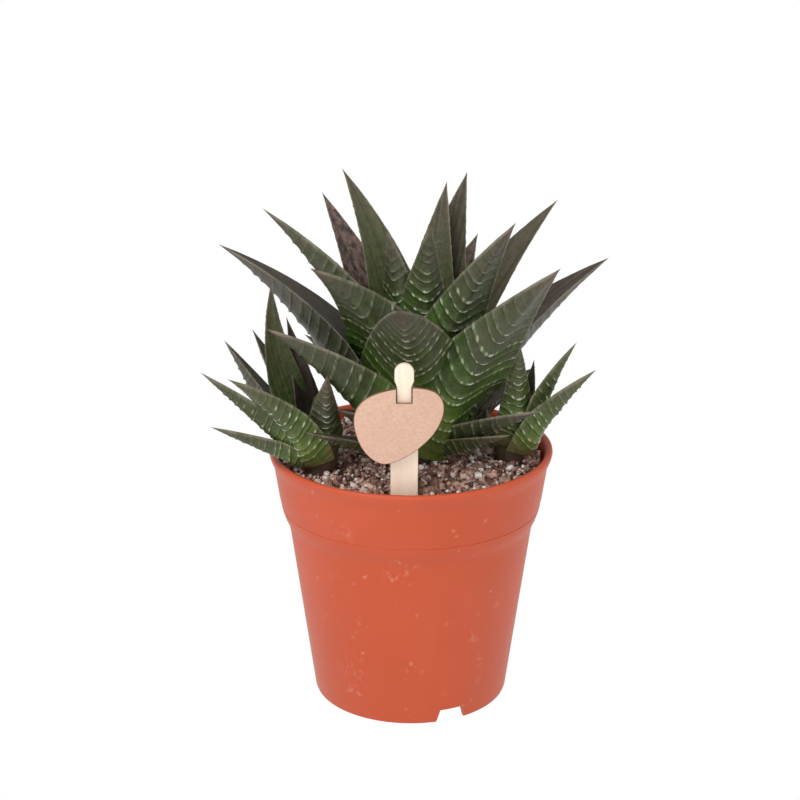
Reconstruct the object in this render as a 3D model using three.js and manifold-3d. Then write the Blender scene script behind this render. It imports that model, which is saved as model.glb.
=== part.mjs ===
// A potted haworthia: a succulent with thick, ridged, sharp-tipped leaves and two young offsets,
// rooted in a filled nursery pot, with a plain wooden label hung on a stick. Millimetres, +Z up.
// Everything is drawn round the pot's axis, and the finished model is then moved sideways so that
// the middle of its box stands over the origin.
import * as THREE from "three";
import { mergeVertices } from "three/addons/utils/BufferGeometryUtils.js";
import Module from "manifold-3d";

const wasm = await Module();
wasm.setup();

// Clearance between pieces that touch
const GAP = 0.3;

// Pot
const POT_HEIGHT = 83;
const LIP_RADIUS = 45; // the pot's widest point
const LIP_DEPTH = 5.4; // how far down the collar starts to swell into the lip
const COLLAR_TOP_RADIUS = 43.5; // just under the lip
const COLLAR_FOOT_RADIUS = 41.05; // where the collar turns in
const COLLAR_FOOT_HEIGHT = 62.5;
const WALL_TOP_RADIUS = 39.1; // top of the plain taper, under the collar
const WALL_TOP_HEIGHT = 59;
const FOOT_RADIUS = 31.3;
const WALL = 1.3; // wall thickness
const FLOOR_HEIGHT = 4; // underside of the raised floor
const FOOT_RING_WIDTH = 1.9;
const POT_SIDES = 48;
const NOTCHES = { count: 3, first: -66, width: 10.5, height: 4.6, slant: 1.4 };
const DRAINS = { count: 6, first: 30, circle: 19, radius: 2.6 };

// Soil
const SOIL_EDGE_HEIGHT = 79.2;
const SOIL_MOUND = 1.6; // how much higher the soil stands in the middle
const SOIL_ROUGHNESS = 0.7;

// Stems: where each stands, and its [radius, height] from the root's end up to the heart. The first
// three points are the part that stands in the soil.
const STEM_SIDES = 24;
const MAIN_STEM = {
  x: 1.5,
  y: -3,
  outline: [
    [4.5, 58],
    [8.6, 77],
    [9.6, 86],
    [8.6, 97],
    [6.2, 109],
    [2.6, 118],
  ],
};
const LEFT_STEM = {
  x: -28,
  y: -13,
  outline: [
    [2.4, 60],
    [4.8, 77],
    [5.4, 86],
    [4.6, 94],
    [2, 103],
  ],
};
const RIGHT_STEM = {
  x: 31,
  y: -5,
  outline: [
    [2.2, 62],
    [4.2, 77],
    [4.8, 85],
    [4, 93],
    [1.8, 101],
  ],
};

// Leaves, one row each: the leaf's direction in degrees round the stem, how far out and how high its
// tip lies, the height of its root, how steeply it leaves the stem in degrees, its widest width, and
// how far it is rolled about its own length in degrees.
const MAIN_LEAVES = [
  // outer leaves, round the foot of the rosette
  [172, 61.9, 147.0, 96, 62, 42, 8],
  [208, 51.0, 129.6, 90, 52, 37, 22],
  [223, 46.0, 99.5, 84, 20, 14, 0],
  [327, 45.5, 104.0, 86.4, 29, 22, -15],
  [316, 39.7, 97.2, 85, 19, 15, -15],
  [350, 33.0, 117.0, 88, 50, 28, -20],
  [23, 42.0, 104.5, 88, 25, 25, 0],
  [70, 50.0, 118.0, 89, 44, 26, 0],
  [110, 52.0, 118.0, 89, 42, 26, 0],
  [142, 46.0, 112.0, 89, 42, 24, 0],
  [227, 35.0, 104.5, 88.6, 36, 27, 0],
  [280, 31.0, 107.0, 89, 46, 28, 0],
  // middle leaves
  [264.5, 57.0, 144.4, 102, 64, 36, 0],
  [320, 54.0, 150.8, 88, 58, 36, -38],
  [7, 60.4, 143.1, 94, 53, 32, 10],
  [226, 44.8, 150.2, 101, 74, 34, 30],
  [188, 46.8, 162.0, 101, 70, 28, 35],
  [138, 40.0, 159.5, 99, 68, 30, 0],
  [98, 40.0, 138.0, 98, 66, 24, 0],
  [60, 40.6, 144.0, 98, 64, 26, 0],
  [316, 39.8, 162.6, 101, 68, 26, -35],
  [10, 44.3, 161.4, 101, 66, 30, 20],
  // inner leaves, round the heart
  [150, 26.4, 170.0, 110, 83, 23, -25],
  [56, 29.0, 166.6, 105, 74, 29, 0],
  [62, 20.6, 164.8, 107, 78, 24, 0],
  [286, 15.5, 159.2, 108, 84, 22, -10],
  [216, 11.0, 155.5, 106, 88, 24, 20],
];
const LEFT_LEAVES = [
  [203, 38.2, 116.2, 86, 44, 18, 20],
  [228, 38.6, 118.5, 86, 57, 20, 20],
  [205, 36.0, 98.9, 85, 26, 16, 20],
  [172, 29.8, 120.4, 88, 52, 21, 10],
  [148, 25.5, 121.2, 89, 58, 13, 0],
  [165, 15.1, 139.4, 90, 58, 15, -45],
  [130, 16.9, 125.5, 91, 72, 11, 0],
  [280, 16.5, 115.8, 88, 66, 13, 0],
  [112, 13.0, 106.0, 88, 56, 11, 0],
];
const RIGHT_LEAVES = [
  [330, 29.0, 114.3, 86, 56, 18, -20],
  [358, 20.3, 118.8, 89, 72, 18, -20],
  [40, 10.0, 111.0, 88, 65, 9, 0],
  [288, 6.0, 122.0, 87, 81, 13, 0],
  [170, 7.4, 97.0, 86, 52, 12, 0],
];

// A leaf's section, point by point round it: how far across, how far towards the inner face (both as
// shares of the half width), how much of a ridge lifts it, and how far it lags behind the margins.
const LEAF_SECTION = [
  { across: -1, inward: 0, ridge: 0.4, lag: 0 },
  { across: -0.6, inward: -0.46, ridge: 1, lag: 0.25 },
  { across: 0, inward: -0.66, ridge: 1, lag: 0.42 },
  { across: 0.6, inward: -0.46, ridge: 1, lag: 0.25 },
  { across: 1, inward: 0, ridge: 0.4, lag: 0 },
  { across: 0, inward: -0.15, ridge: 0, lag: 0 },
];
const LEAF_START = 3; // how far from the stem's axis a leaf begins, inside the stem
const RIDGE_HEIGHT = 0.5;
const RIDGE_PITCH = 6.2; // along the leaf
const RIDGED = [0.1, 0.9]; // the share of the leaf's length that carries ridges
const ROLLED_FROM = 0.4; // the share of the length over which a leaf takes up its roll

// Label
const STICK = {
  x: -2.2,
  y: -36.4, // middle of the stick where it enters the soil
  lean: 4, // degrees that it leans forward
  thickness: 1.4,
  foot: 58,
  taper: 5, // length of the pointed foot
  bladeTop: 106.5,
  neckTop: 115.7,
  top: 122.8,
  bladeWidth: 8.2,
  neckWidth: 4.3,
  headWidth: 5.7,
};
const PLATE = {
  x: -3.8,
  height: 103.7, // middle of the board
  lean: -4, // degrees: its top leans back
  thickness: 1.3,
  width: 26.6,
  depth: 23.3,
  notchDepth: 4.8,
};

const degrees = (angle) => (angle * Math.PI) / 180;

// Turns a closed geometry into a solid that can be joined and cut.
function toSolid(geometry) {
  const bare = geometry.index ? geometry.toNonIndexed() : geometry.clone();
  bare.deleteAttribute("normal");
  bare.deleteAttribute("uv");
  const merged = mergeVertices(bare, 1e-4);
  return new wasm.Manifold(
    new wasm.Mesh({
      numProp: 3,
      vertProperties: merged.attributes.position.array,
      triVerts: new Uint32Array(merged.index.array),
    }),
  );
}

function toGeometry(solid) {
  const mesh = solid.getMesh();
  const geometry = new THREE.BufferGeometry();
  geometry.setAttribute("position", new THREE.BufferAttribute(mesh.vertProperties, 3));
  geometry.setIndex(new THREE.BufferAttribute(mesh.triVerts, 1));
  geometry.computeVertexNormals();
  return geometry;
}

// Revolves an outline of [radius, height] points round the upright axis.
function revolve(outline, sides) {
  const points = outline.map(([radius, height]) => new THREE.Vector2(radius, height));
  return new THREE.LatheGeometry(points, sides).rotateX(Math.PI / 2);
}

function named(name, geometry, color, roughness) {
  const material = new THREE.MeshStandardMaterial({ color, roughness, metalness: 0 });
  const mesh = new THREE.Mesh(geometry, material);
  mesh.name = name;
  return mesh;
}

// The pot's inside from the floor up to the lip, drawn in by shrink. The soil repeats it.
function potInside(shrink) {
  const floorTop = FLOOR_HEIGHT + WALL;
  const corner = 1.4; // radius of the corner between floor and wall
  const slope = (WALL_TOP_RADIUS - FOOT_RADIUS) / WALL_TOP_HEIGHT;
  const inset = WALL + shrink;
  return [
    [FOOT_RADIUS + slope * floorTop - inset - corner, floorTop + shrink],
    [FOOT_RADIUS + slope * (floorTop + corner) - inset, floorTop + corner + shrink],
    [WALL_TOP_RADIUS - inset, WALL_TOP_HEIGHT + 0.3],
    [COLLAR_FOOT_RADIUS - inset - 0.5, COLLAR_FOOT_HEIGHT],
    [COLLAR_FOOT_RADIUS - inset + 0.1, COLLAR_FOOT_HEIGHT + 1.6],
    [COLLAR_TOP_RADIUS - inset, POT_HEIGHT - LIP_DEPTH],
  ];
}

// The pot's outside, from under the floor over the foot ring, wall and collar to the lip's inner edge.
function potOutside() {
  const ringInside = FOOT_RADIUS - FOOT_RING_WIDTH;
  return [
    [0, FLOOR_HEIGHT],
    [ringInside - 0.6, FLOOR_HEIGHT],
    [ringInside, FLOOR_HEIGHT - 0.8],
    [ringInside, 0],
    [FOOT_RADIUS - 0.6, 0],
    [FOOT_RADIUS, 1.4],
    [WALL_TOP_RADIUS, WALL_TOP_HEIGHT],
    [WALL_TOP_RADIUS + 0.6, WALL_TOP_HEIGHT + 0.7],
    [COLLAR_FOOT_RADIUS - 0.65, COLLAR_FOOT_HEIGHT - 1.8],
    [COLLAR_FOOT_RADIUS, COLLAR_FOOT_HEIGHT],
    [COLLAR_TOP_RADIUS, POT_HEIGHT - LIP_DEPTH],
    [LIP_RADIUS - 0.6, POT_HEIGHT - LIP_DEPTH / 2],
    [LIP_RADIUS, POT_HEIGHT - 0.9],
    [LIP_RADIUS - 0.6, POT_HEIGHT],
    [LIP_RADIUS - WALL - 0.6, POT_HEIGHT],
    [LIP_RADIUS - WALL - 1.2, POT_HEIGHT - 0.8],
  ];
}

// A drainage notch through the foot ring, wider at the bottom, at an angle round the pot.
function footNotch(angle) {
  const half = NOTCHES.width / 2;
  const shape = new THREE.Shape([
    new THREE.Vector2(-half, -1),
    new THREE.Vector2(half, -1),
    new THREE.Vector2(half - NOTCHES.slant, NOTCHES.height),
    new THREE.Vector2(NOTCHES.slant - half, NOTCHES.height),
  ]);
  const through = 3 * FOOT_RING_WIDTH;
  return new THREE.ExtrudeGeometry(shape, { depth: through, bevelEnabled: false })
    .rotateX(Math.PI / 2)
    .translate(0, FOOT_RING_WIDTH - FOOT_RADIUS + WALL, 0)
    .rotateZ(degrees(angle + 90));
}

// A round drainage hole through the floor.
function drain(angle) {
  return new THREE.CylinderGeometry(DRAINS.radius, DRAINS.radius, 4 * WALL, 12)
    .rotateX(Math.PI / 2)
    .translate(DRAINS.circle, 0, FLOOR_HEIGHT + WALL / 2)
    .rotateZ(degrees(angle));
}

function pot() {
  const floorTop = [0, FLOOR_HEIGHT + WALL];
  const outline = [...potOutside(), ...potInside(0).reverse(), floorTop];
  let solid = toSolid(revolve(outline, POT_SIDES));
  for (let i = 0; i < NOTCHES.count; i++) {
    const angle = NOTCHES.first + (i * 360) / NOTCHES.count;
    solid = solid.subtract(toSolid(footNotch(angle)));
  }
  for (let i = 0; i < DRAINS.count; i++) {
    const angle = DRAINS.first + (i * 360) / DRAINS.count;
    solid = solid.subtract(toSolid(drain(angle)));
  }
  return toGeometry(solid);
}

// Lumps of the soil's top at a place, in millimetres above its smooth mound.
function soilLumps(x, y) {
  const broad = Math.sin(0.31 * x + 1.3) * Math.cos(0.27 * y - 0.4);
  const fine = Math.sin(0.83 * x - 0.9 * y + 0.6) * Math.cos(0.71 * x + 0.62 * y);
  return SOIL_ROUGHNESS * (0.6 * broad + 0.8 * fine);
}

// A plain round hole for a stem, GAP wider all round than the stem's foot.
function stemHole({ x, y, outline }) {
  const foot = outline.slice(0, 3);
  const bottom = foot[0][1] - GAP;
  const mouth = foot[2][1] + 6;
  const widened = foot.map(([radius, height]) => [radius + GAP, height]);
  const hole = [[0, bottom], [widened[0][0], bottom], ...widened, [widened[2][0], mouth], [0, mouth]];
  return revolve(hole, STEM_SIDES).translate(x, y, 0);
}

function soil() {
  const wall = potInside(GAP).filter(([, height]) => height < SOIL_EDGE_HEIGHT);
  const [edge] = potInside(GAP).at(-1);
  const mound = (share) => SOIL_EDGE_HEIGHT + SOIL_MOUND * (1 - share * share);
  const outline = [
    [0, FLOOR_HEIGHT + WALL + GAP],
    ...wall,
    [edge - 0.3, SOIL_EDGE_HEIGHT - 1.2],
    ...[0.86, 0.72, 0.58, 0.44, 0.3, 0.15, 0].map((share) => [edge * share, mound(share)]),
  ];
  const geometry = revolve(outline, POT_SIDES);
  const { position } = geometry.attributes;
  for (let i = 0; i < position.count; i++) {
    const height = position.getZ(i);
    const lumps = soilLumps(position.getX(i), position.getY(i));
    if (height > SOIL_EDGE_HEIGHT - 0.5) position.setZ(i, height + lumps);
  }
  let solid = toSolid(geometry);
  for (const hole of [MAIN_STEM, LEFT_STEM, RIGHT_STEM].map(stemHole)) {
    solid = solid.subtract(toSolid(hole));
  }
  return toGeometry(solid.subtract(toSolid(stickSlot())));
}

// A leaf's half width at a share of its length, as a share of its widest half.
function leafWidth(share) {
  const clasp = 0.86 + 0.14 * Math.min(1, share / 0.22);
  return clasp * (1 - share ** 1.5) ** 1.15;
}

// A leaf's line from inside the stem to its tip, in the upright plane through the stem's axis.
function leafArch(reach, height, root, steep) {
  const start = new THREE.Vector2(LEAF_START, root);
  const tip = new THREE.Vector2(reach, height);
  const rising = new THREE.Vector2(Math.cos(degrees(steep)), Math.sin(degrees(steep)));
  const control = rising.multiplyScalar(start.distanceTo(tip) / 2).add(start);
  return new THREE.QuadraticBezierCurve(start, control, tip);
}

// Closes rings of points, one after another, between a flat root and a pointed tip.
function leafFaces(rows, count) {
  const faces = [];
  for (let row = 0; row + 1 < rows; row++) {
    for (let i = 0; i < count; i++) {
      const here = row * count + i;
      const next = row * count + ((i + 1) % count);
      faces.push(here, next, here + count, next, next + count, here + count);
    }
  }
  const last = (rows - 1) * count;
  for (let i = 0; i < count; i++) faces.push(last + i, last + ((i + 1) % count), rows * count);
  for (let i = 1; i + 1 < count; i++) faces.push(0, i + 1, i);
  return faces;
}

// One leaf: a ridged crescent section swept along the leaf's arch to a sharp tip.
function leaf([direction, reach, height, root, steep, width, roll]) {
  const arch = leafArch(reach, height, root, steep);
  const chord = arch.v0.distanceTo(arch.v2);
  const [from, to] = RIDGED;
  const ridges = Math.round(((to - from) * chord) / RIDGE_PITCH);
  const rows = 2 * ridges + 1;

  const positions = [];
  for (let row = 0; row < rows; row++) {
    const share = row === 0 ? 0 : from + ((to - from) * (row - 1)) / (rows - 2);
    const half = (width / 2) * leafWidth(share);
    const turned = degrees(roll) * Math.min(1, share / ROLLED_FROM);
    for (const { across, inward, ridge, lag } of LEAF_SECTION) {
      const behind = Math.max(0, share - (lag * half) / chord);
      const at = arch.getPoint(behind);
      const along = arch.getTangent(behind);
      const lift = row % 2 === 1 ? RIDGE_HEIGHT * ridge : 0;
      const side = across * (half + lift * Math.abs(across));
      const depth = inward * half * (1 + share / 2) - lift * (1 - Math.abs(across));
      const sideways = side * Math.cos(turned) - depth * Math.sin(turned);
      const inwards = side * Math.sin(turned) + depth * Math.cos(turned);
      positions.push(at.x - along.y * inwards, sideways, at.y + along.x * inwards);
    }
  }
  positions.push(reach, 0, height);

  const geometry = new THREE.BufferGeometry();
  geometry.setAttribute("position", new THREE.Float32BufferAttribute(positions, 3));
  geometry.setIndex(leafFaces(rows, LEAF_SECTION.length));
  return geometry.rotateZ(degrees(direction));
}

// A stem with its leaves, grown together as one piece.
function rosette({ x, y, outline }, leaves) {
  const [topRadius, topHeight] = outline.at(-1);
  const closed = [[0, outline[0][1]], ...outline, [0, topHeight + topRadius]];
  const parts = [revolve(closed, STEM_SIDES), ...leaves.map(leaf)];
  const grown = wasm.Manifold.union(parts.map(toSolid));
  // Pockets sealed between the leaf bases are filled, and loose scraps are dropped.
  const [whole] = grown.decompose().sort((a, b) => b.volume() - a.volume());
  return toGeometry(whole).translate(x, y, 0);
}

// Stands a flat piece, drawn in the XY plane, upright. It leans about a level line at pivot, given as
// [y, height]: forward where lean, in degrees, is positive.
function stand(geometry, lean, [y, height]) {
  return geometry
    .rotateX(Math.PI / 2)
    .translate(0, 0, -height)
    .rotateX(degrees(lean))
    .translate(0, y, height);
}

// The flat stick: a blade with a tapered foot, a narrow neck and a round head.
function labelStick() {
  const { x, bladeTop, neckTop, top, foot, taper, thickness } = STICK;
  const [blade, neck, head] = [STICK.bladeWidth / 2, STICK.neckWidth / 2, STICK.headWidth / 2];
  const shape = new THREE.Shape();
  shape.moveTo(x - blade / 2, foot);
  shape.lineTo(x + blade / 2, foot);
  shape.lineTo(x + blade, foot + taper);
  shape.lineTo(x + blade, bladeTop - 2.5);
  shape.quadraticCurveTo(x + blade, bladeTop - 0.6, x + neck, bladeTop);
  shape.lineTo(x + neck, neckTop);
  shape.lineTo(x + head, neckTop + 1.2);
  shape.lineTo(x + head, top - head);
  shape.absarc(x, top - head, head, 0, Math.PI, false);
  shape.lineTo(x - head, neckTop + 1.2);
  shape.lineTo(x - neck, neckTop);
  shape.lineTo(x - neck, bladeTop);
  shape.quadraticCurveTo(x - blade, bladeTop - 0.6, x - blade, bladeTop - 2.5);
  shape.lineTo(x - blade, foot + taper);
  const flat = { depth: thickness, bevelEnabled: false, curveSegments: 6 };
  const geometry = new THREE.ExtrudeGeometry(shape, flat).translate(0, 0, -thickness / 2);
  return stand(geometry, STICK.lean, [STICK.y, SOIL_EDGE_HEIGHT]);
}

// The slot in the soil that the stick stands in.
function stickSlot() {
  const { x, foot, thickness, bladeWidth } = STICK;
  const height = SOIL_EDGE_HEIGHT + 8 - foot + GAP;
  const slot = new THREE.BoxGeometry(bladeWidth + 2 * GAP, height, thickness + 2 * GAP);
  slot.translate(x, foot - GAP + height / 2, 0);
  return stand(slot, STICK.lean, [STICK.y, SOIL_EDGE_HEIGHT]);
}

// The board: a rounded, slightly lopsided pebble, notched at the top for the stick's neck.
function labelPlate() {
  const { x, height, thickness, width, depth, notchDepth } = PLATE;
  const pebble = [
    [-1, 0.1],
    [-0.84, 0.6],
    [-0.38, 0.89],
    [0.29, 1],
    [0.82, 0.87],
    [1, 0.44],
    [0.78, -0.2],
    [0.24, -0.76],
    [-0.35, -1],
    [-0.8, -0.62],
    [-1, 0.1],
  ];
  const points = pebble.map(
    ([across, up]) => new THREE.Vector2(x + (across * width) / 2, height + (up * depth) / 2),
  );
  const shape = new THREE.Shape(new THREE.SplineCurve(points).getPoints(36).slice(0, -1));
  const board = new THREE.ExtrudeGeometry(shape, { depth: thickness, bevelEnabled: false });

  const notchWidth = STICK.neckWidth + 2 * GAP;
  const notch = new THREE.BoxGeometry(notchWidth, 2 * notchDepth, 4 * thickness);
  notch.translate(STICK.x, height + depth / 2, 0);
  const notched = toGeometry(toSolid(board).subtract(toSolid(notch)));

  // The board's back meets the stick's face at the bottom of the notch.
  const seat = height + depth / 2 - notchDepth;
  const rise = seat - SOIL_EDGE_HEIGHT;
  const face = STICK.y - rise * Math.tan(degrees(STICK.lean)) - STICK.thickness / 2;
  return stand(notched, PLATE.lean, [face - GAP, seat]);
}

const plant = new THREE.Group();
plant.add(
  named("pot", pot(), 0xc85f46, 0.5),
  named("soil", soil(), 0x4a3830, 0.95),
  named("main_rosette", rosette(MAIN_STEM, MAIN_LEAVES), 0x46553c, 0.5),
  named("left_offset", rosette(LEFT_STEM, LEFT_LEAVES), 0x4c5c3e, 0.5),
  named("right_offset", rosette(RIGHT_STEM, RIGHT_LEAVES), 0x4f6a3e, 0.5),
  named("label_stick", labelStick(), 0xecd2b2, 0.7),
  named("label_plate", labelPlate(), 0xd8ab82, 0.75),
);

// The middle of the model's box goes over the origin.
const middle = new THREE.Box3().setFromObject(plant).getCenter(new THREE.Vector3());
plant.position.set(-middle.x, -middle.y, 0);

const pottedHaworthia = new THREE.Group();
pottedHaworthia.add(plant);

export default pottedHaworthia;
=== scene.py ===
# A potted haworthia: a succulent with thick, ridged, sharp-tipped leaves and two young offsets in a
# plastic nursery pot full of soil, with a bare wooden label hung on a stick.
import math
import random

import bpy
import numpy as np
from mathutils import Euler, Matrix, Vector, noise


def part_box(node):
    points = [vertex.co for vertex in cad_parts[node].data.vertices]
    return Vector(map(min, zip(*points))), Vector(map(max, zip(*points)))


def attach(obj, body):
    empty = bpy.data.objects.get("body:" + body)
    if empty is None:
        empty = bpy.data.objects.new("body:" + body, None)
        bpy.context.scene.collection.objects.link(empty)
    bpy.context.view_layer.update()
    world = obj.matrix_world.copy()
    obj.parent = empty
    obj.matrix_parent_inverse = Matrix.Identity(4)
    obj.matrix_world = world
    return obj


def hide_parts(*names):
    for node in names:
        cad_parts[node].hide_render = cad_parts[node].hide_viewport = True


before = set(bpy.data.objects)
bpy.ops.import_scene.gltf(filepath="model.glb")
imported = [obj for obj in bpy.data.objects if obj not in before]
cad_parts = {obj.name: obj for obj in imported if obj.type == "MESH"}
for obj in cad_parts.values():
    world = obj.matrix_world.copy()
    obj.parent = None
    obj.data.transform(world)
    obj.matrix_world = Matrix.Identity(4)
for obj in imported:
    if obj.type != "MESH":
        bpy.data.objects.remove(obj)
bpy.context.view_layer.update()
bpy.ops.object.select_all(action="DESELECT")

# The view: a long lens some way in front of the pot, looking slightly down on it. Everything below
# is drawn round the pot's own axis in millimetres, and millimetres() brings it into the frame.
MM = 0.001
pot_low, pot_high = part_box("pot")
POT_AXIS = Vector(((pot_low.x + pot_high.x) / 2, (pot_low.y + pot_high.y) / 2, 0))

CAMERA_DISTANCE = 600
CAMERA_ELEVATION = math.radians(18.8)
CAMERA_AIM = Vector((-3.45, 0, 97.9))
FOCAL_LENGTH = 85.6  # on a sensor 36 mm wide


def millimetres(x, y, z):
    """A point given in millimetres from the foot of the pot's axis, in the frame's metres."""
    return POT_AXIS + Vector((x, y, z)) * MM


towards_camera = Vector((0, -math.cos(CAMERA_ELEVATION), math.sin(CAMERA_ELEVATION)))
bpy.ops.object.camera_add(
    location=millimetres(*(CAMERA_AIM + towards_camera * CAMERA_DISTANCE)),
    rotation=(math.pi / 2 - CAMERA_ELEVATION, 0, 0),
)
camera = bpy.context.object
camera.data.lens = FOCAL_LENGTH
camera.data.clip_start = 0.01
bpy.context.scene.camera = camera
bpy.context.scene.view_settings.view_transform = "Standard"


# The studio: the plant stands on a light table, whose white glow leaves no shadow, under an even
# sky with a broad soft lamp above on the left and a weaker one on the right.
FLOOR_RADIUS = 6
FLOOR_DROP = 0.1  # how far the table lies under the pot's foot
LIGHT_TABLE = {
    "Base Color": (0, 0, 0, 1),
    "Specular IOR Level": 0,
    "Emission Color": (1, 1, 1, 1),
    "Emission Strength": 1,
}
SKY_STRENGTH = 0.55
LAMPS = [  # name, the way to the lamp, spread in degrees and strength
    ("lamp_left", (-0.6, -0.75, 1.0), 45, 1.6),
    ("lamp_front", (0.45, -1.0, 0.4), 80, 0.8),
]


def start_material(name, inputs):
    """A new material, its node tree and its surface shader with some of the inputs set."""
    material = bpy.data.materials.new(name)
    material.use_nodes = True
    tree = material.node_tree
    tree.nodes.clear()
    output = tree.nodes.new("ShaderNodeOutputMaterial")
    surface = tree.nodes.new("ShaderNodeBsdfPrincipled")
    for socket, value in inputs.items():
        surface.inputs[socket].default_value = value
    tree.links.new(surface.outputs["BSDF"], output.inputs["Surface"])
    return material, tree, surface


bpy.ops.mesh.primitive_circle_add(
    vertices=96, radius=FLOOR_RADIUS, fill_type="NGON", location=(0, 0, -FLOOR_DROP * MM)
)
floor = bpy.context.object
floor.name = "floor"
floor.data.materials.append(start_material("light_table", LIGHT_TABLE)[0])

studio = bpy.data.worlds.new("studio")
studio.use_nodes = True
sky = studio.node_tree.nodes["Background"]
sky.inputs["Color"].default_value = (1, 1, 1, 1)
sky.inputs["Strength"].default_value = SKY_STRENGTH
bpy.context.scene.world = studio

for name, place, spread, strength in LAMPS:
    bpy.ops.object.light_add(type="SUN", location=place)
    lamp = bpy.context.object
    lamp.name = name
    lamp.data.angle = math.radians(spread)
    lamp.data.energy = strength
    lamp.rotation_euler = (-Vector(place)).to_track_quat("-Z", "Y").to_euler()


# The pot: thin terracotta-coloured plastic, moulded in one piece, with a collar that swells softly
# into the lip, a raised floor with six holes and a foot ring with three notches. Pale rubs and a
# parting line round the collar show outside.
POT_HEIGHT = 83
LIP_RADIUS = 45
LIP_DEPTH = 5.4
COLLAR_TOP_RADIUS = 43.5
COLLAR_FOOT_RADIUS = 41.05
COLLAR_FOOT_HEIGHT = 62.5
WALL_TOP_RADIUS = 39.1
WALL_TOP_HEIGHT = 59
PARTING_LINE = 64.3  # the height of the fine groove round the collar
GROOVE = 0.16  # half its height, and its depth
FOOT_RADIUS = 31.3
WALL = 1.3
FLOOR_HEIGHT = 4
FLOOR_CORNER = 1.4  # radius of the corner between floor and wall
FOOT_RING_WIDTH = 1.9
NOTCH = {"count": 3, "first": -66, "width": 10.5, "height": 4.6, "slant": 1.4, "inwards": 3.2}
DRAIN = {"count": 6, "first": 30, "circle": 19, "radius": 2.6}
POT_SIDES = 160


def turn(name, outline, sides):
    """Turns a closed body out of an outline of (radius, height) points that starts and ends on the
    axis, by drawing one ring out of the last."""
    inner = [point for point in outline if point[0] > 0]
    radius, height = inner[0]
    bpy.ops.mesh.primitive_circle_add(
        vertices=sides,
        radius=radius * MM,
        location=millimetres(0, 0, height),
        fill_type="TRIFAN",
    )
    made = bpy.context.object
    made.name = name
    bpy.ops.object.transform_apply(location=True, rotation=False, scale=False)
    bpy.ops.object.mode_set(mode="EDIT")
    bpy.ops.mesh.select_mode(type="EDGE")
    bpy.ops.mesh.select_all(action="SELECT")
    bpy.ops.mesh.region_to_loop()
    for next_radius, next_height in inner[1:]:
        bpy.ops.mesh.extrude_edges_move(
            TRANSFORM_OT_translate={"value": (0, 0, (next_height - height) * MM)}
        )
        scale = next_radius / radius
        bpy.ops.transform.resize(
            value=(scale, scale, 1), center_override=millimetres(0, 0, next_height)
        )
        radius, height = next_radius, next_height
    bpy.ops.mesh.edge_face_add()
    bpy.ops.mesh.poke()
    bpy.ops.mesh.select_all(action="SELECT")
    bpy.ops.mesh.normals_make_consistent(inside=False)
    bpy.ops.object.mode_set(mode="OBJECT")
    return made


def apply_modifier(piece, kind, **settings):
    bpy.context.view_layer.objects.active = piece
    modifier = piece.modifiers.new(kind.lower(), kind)
    for key, value in settings.items():
        setattr(modifier, key, value)
    bpy.ops.object.modifier_apply(modifier=modifier.name)


def cut(piece, tool):
    """Cuts the tool's shape out of the piece, and throws the tool away."""
    apply_modifier(piece, "BOOLEAN", operation="DIFFERENCE", object=tool, solver="EXACT")
    bpy.data.objects.remove(tool)


def finish_shape(piece, angle=35):
    """Smooth shading but for edges sharper than an angle in degrees, with the place in the mesh."""
    bpy.ops.object.select_all(action="DESELECT")
    piece.select_set(True)
    bpy.context.view_layer.objects.active = piece
    bpy.ops.object.transform_apply(location=True, rotation=True, scale=True)
    bpy.ops.object.shade_smooth_by_angle(angle=math.radians(angle))
    bpy.ops.object.select_all(action="DESELECT")


def pot_inside(shrink):
    """The inside of the pot's wall from the floor up, as the CAD has it, drawn in by shrink."""
    slope = (WALL_TOP_RADIUS - FOOT_RADIUS) / WALL_TOP_HEIGHT
    inset = WALL + shrink
    low = FLOOR_HEIGHT + WALL
    middle, high = low + FLOOR_CORNER / 3, low + FLOOR_CORNER
    return [
        (FOOT_RADIUS + slope * low - inset - FLOOR_CORNER, low + shrink),
        (FOOT_RADIUS + slope * middle - inset - FLOOR_CORNER / 3, middle),
        (FOOT_RADIUS + slope * high - inset, high + shrink),
        (WALL_TOP_RADIUS - inset, WALL_TOP_HEIGHT + 0.3),
        (COLLAR_FOOT_RADIUS - inset - 0.5, COLLAR_FOOT_HEIGHT),
        (COLLAR_FOOT_RADIUS - inset + 0.1, COLLAR_FOOT_HEIGHT + 1.6),
        (COLLAR_TOP_RADIUS - inset, POT_HEIGHT - LIP_DEPTH),
    ]


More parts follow.
